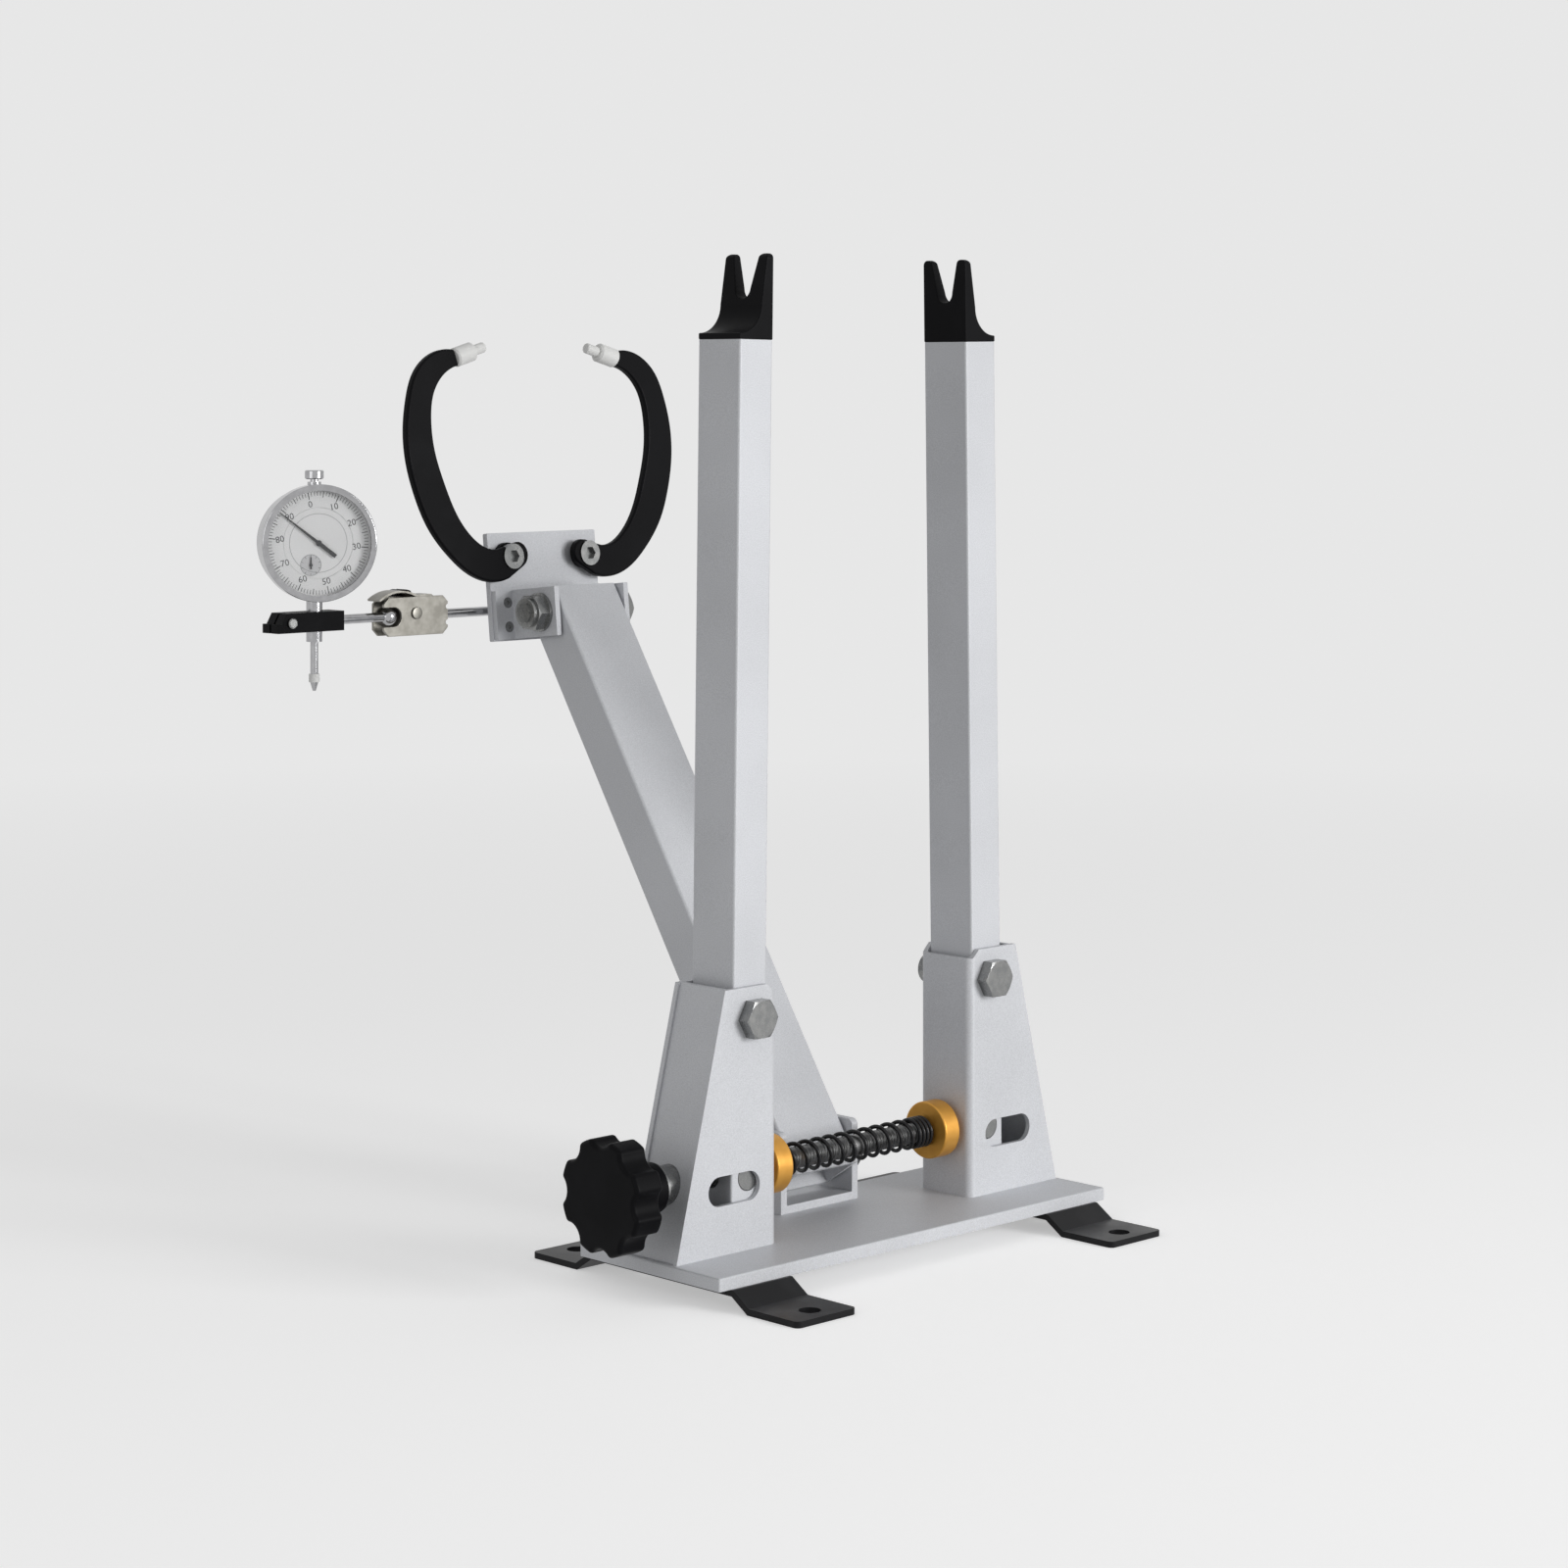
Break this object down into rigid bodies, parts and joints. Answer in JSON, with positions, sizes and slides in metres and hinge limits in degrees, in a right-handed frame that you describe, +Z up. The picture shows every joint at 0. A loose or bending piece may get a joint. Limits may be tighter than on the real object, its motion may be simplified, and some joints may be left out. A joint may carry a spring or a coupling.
{
  "type": "bicycle wheel truing stand",
  "caption": "Bench stand that holds a bicycle wheel by its axle between tilting uprights, with caliper feelers and a dial gauge that show how true the rim runs.",
  "frame": {"origin": "centre of the four foot holes, on the floor", "axes": "+Z up, X along the wheel's axle from the left upright to the right one, +Y to the back, where the caliper arm leans"},
  "size_m": [0.3052, 0.3385, 0.4713],
  "materials": {
    "silver_aluminium": "satin, fine speckle",
    "black_steel": "satin",
    "black_plastic": "satin moulded",
    "zinc_steel": "bright zinc",
    "dark_steel": "black oxide",
    "rod_steel": "rolled thread",
    "black_spring": "satin",
    "gold_anodised": "gold anodised, satin",
    "white_nylon": "satin",
    "nickel_plate": "warm nickel",
    "polished_steel": "polished",
    "dial_white": "satin",
    "pointer_black": "satin",
    "crystal": "clear"
  },
  "bodies": {
    "base": {"base_plate": "silver_aluminium", "left_foot": "black_steel", "right_foot": "black_steel", "base_screws": "zinc_steel", "left_tower": "silver_aluminium", "right_tower": "silver_aluminium", "left_cover_plate": "silver_aluminium", "right_cover_plate": "silver_aluminium", "thrust_bush": "zinc_steel", "tower_pivot_bolts": "zinc_steel", "tower_pivot_nuts": "zinc_steel", "arm_bracket": "silver_aluminium", "arm_pivot_bolt": "zinc_steel", "arm_pivot_nut": "zinc_steel", "arm_pivot_washers": "zinc_steel", "compression_spring": "black_spring"},
    "drive_screw": {"threaded_rod": "rod_steel", "star_knob": "black_plastic", "thrust_washer": "zinc_steel", "retaining_ring": "dark_steel"},
    "left_upright": {"left_upright": "silver_aluminium", "left_dropout": "black_plastic"},
    "right_upright": {"right_upright": "silver_aluminium", "right_dropout": "black_plastic"},
    "left_traveller": {"left_barrel_nut": "zinc_steel", "left_collar": "gold_anodised"},
    "right_traveller": {"right_barrel_nut": "zinc_steel", "right_collar": "gold_anodised"},
    "arm": {"support_arm": "silver_aluminium"},
    "head": {"head_plate": "silver_aluminium", "left_head_bracket": "silver_aluminium", "right_head_bracket": "silver_aluminium", "bracket_screws": "zinc_steel", "head_pivot_bolt": "zinc_steel", "head_pivot_nut": "zinc_steel", "head_pivot_washers": "zinc_steel", "caliper_screws": "zinc_steel", "rod_clamp": "black_plastic", "rod_clamp_screw": "dark_steel"},
    "left_caliper": {"left_caliper": "black_plastic", "left_feeler": "white_nylon"},
    "right_caliper": {"right_caliper": "black_plastic", "right_feeler": "white_nylon"},
    "gauge_rod": {"gauge_rod": "polished_steel"},
    "swivel": {"swivel_plates": "nickel_plate", "swivel_leaf": "nickel_plate"},
    "swivel_knob": {"swivel_knob": "black_plastic"},
    "stem_arm": {"stem_rod": "polished_steel", "stem_holder": "black_plastic", "stem_screw": "zinc_steel"},
    "gauge": {"gauge_case": "polished_steel", "gauge_dial": "dial_white"},
    "bezel": {"gauge_bezel": "polished_steel", "gauge_scale_ring": "dial_white", "gauge_crystal": "crystal"},
    "pointer": {"gauge_pointer": "pointer_black"},
    "small_pointer": {"gauge_small_pointer": "pointer_black"},
    "plunger": {"gauge_plunger": "polished_steel", "gauge_cap": "polished_steel", "gauge_tip": "white_nylon"}
  },
  "joints": [
    {"name": "drive_screw_turn", "type": "hinge", "parent": "base", "child": "drive_screw", "pos_m": [0, 0, 0.048], "axis": [1, 0, 0], "range_deg": [-795, 486]},
    {"name": "right_upright_tilt", "type": "hinge", "parent": "base", "child": "right_upright", "pos_m": [0.08, 0, 0.121], "axis": [0, 1, 0], "range_deg": [-2.61, 1.6]},
    {"name": "left_upright_tilt", "type": "hinge", "parent": "base", "child": "left_upright", "pos_m": [-0.08, 0, 0.121], "axis": [0, 1, 0], "range_deg": [-1.6, 2.61]},
    {"name": "right_nut_slide", "type": "slide", "parent": "base", "child": "right_traveller", "axis": [1, 0, 0], "range_m": [-0.00204, 0.00333], "deforming": ["compression_spring"]},
    {"name": "left_nut_slide", "type": "slide", "parent": "base", "child": "left_traveller", "axis": [1, 0, 0], "range_m": [-0.00333, 0.00204], "deforming": ["compression_spring"]},
    {"name": "arm_tilt", "type": "hinge", "parent": "base", "child": "arm", "pos_m": [0, 0.03225, 0.0375], "axis": [1, 0, 0], "range_deg": [-19.5, 27]},
    {"name": "head_tilt", "type": "hinge", "parent": "arm", "child": "head", "pos_m": [0, 0.19891, 0.29413], "axis": [-1, 0, 0], "range_deg": [-30, 30]},
    {"name": "right_caliper_swing", "type": "hinge", "parent": "head", "child": "right_caliper", "pos_m": [0.026, 0.22559, 0.32129], "axis": [0, -0.9945, 0.1045], "range_deg": [0, 16]},
    {"name": "left_caliper_swing", "type": "hinge", "parent": "head", "child": "left_caliper", "pos_m": [-0.026, 0.22559, 0.32129], "axis": [0, 0.9945, -0.1045], "range_deg": [0, 16]},
    {"name": "gauge_rod_turn", "type": "hinge", "parent": "head", "child": "gauge_rod", "pos_m": [0, 0.23063, 0.29362], "axis": [1, 0, 0], "range_deg": [-45, 45]},
    {"name": "swivel_tilt", "type": "hinge", "parent": "gauge_rod", "child": "swivel", "pos_m": [-0.0699, 0.23063, 0.29362], "axis": [0, 1, 0], "range_deg": [-20, 20]},
    {"name": "swivel_knob_turn", "type": "hinge", "parent": "swivel", "child": "swivel_knob", "pos_m": [-0.084, 0.23063, 0.29512], "axis": [0, 1, 0], "range_deg": [-180, 180]},
    {"name": "stem_arm_tilt", "type": "hinge", "parent": "swivel", "child": "stem_arm", "pos_m": [-0.0981, 0.23063, 0.29362], "axis": [0, -1, 0], "range_deg": [-25, 25]},
    {"name": "gauge_turn", "type": "hinge", "parent": "stem_arm", "child": "gauge", "pos_m": [-0.144, 0.23063, 0.33252], "axis": [0, 0, 1], "range_deg": [-90, 90]},
    {"name": "bezel_turn", "type": "hinge", "parent": "gauge", "child": "bezel", "pos_m": [-0.144, 0.23063, 0.33252], "axis": [-0.3875, -0.9219, 0], "continuous": true},
    {"name": "pointer_turn", "type": "hinge", "parent": "gauge", "child": "pointer", "pos_m": [-0.144, 0.23063, 0.33252], "axis": [-0.3875, -0.9219, 0], "range_deg": [-3600, 0]},
    {"name": "small_pointer_turn", "type": "hinge", "parent": "gauge", "child": "small_pointer", "pos_m": [-0.1475, 0.2321, 0.32171], "axis": [-0.3875, -0.9219, 0], "range_deg": [0, 360]},
    {"name": "plunger_slide", "type": "slide", "parent": "gauge", "child": "plunger", "axis": [0, 0, 1], "range_m": [0, 0.01], "stiffness_N_per_m": 50, "springref_m": -0.008}
  ],
  "couplings": [
    {"joint": "right_upright_tilt", "follows": "drive_screw_turn", "ratio": 0.0032703},
    {"joint": "left_upright_tilt", "follows": "drive_screw_turn", "ratio": -0.0032703},
    {"joint": "right_nut_slide", "follows": "drive_screw_turn", "m_per_rad": -0.00023873},
    {"joint": "left_nut_slide", "follows": "drive_screw_turn", "m_per_rad": 0.00023873},
    {"joint": "pointer_turn", "follows": "plunger_slide", "rad_per_m": -6283},
    {"joint": "small_pointer_turn", "follows": "plunger_slide", "rad_per_m": 628.3}
  ]
}
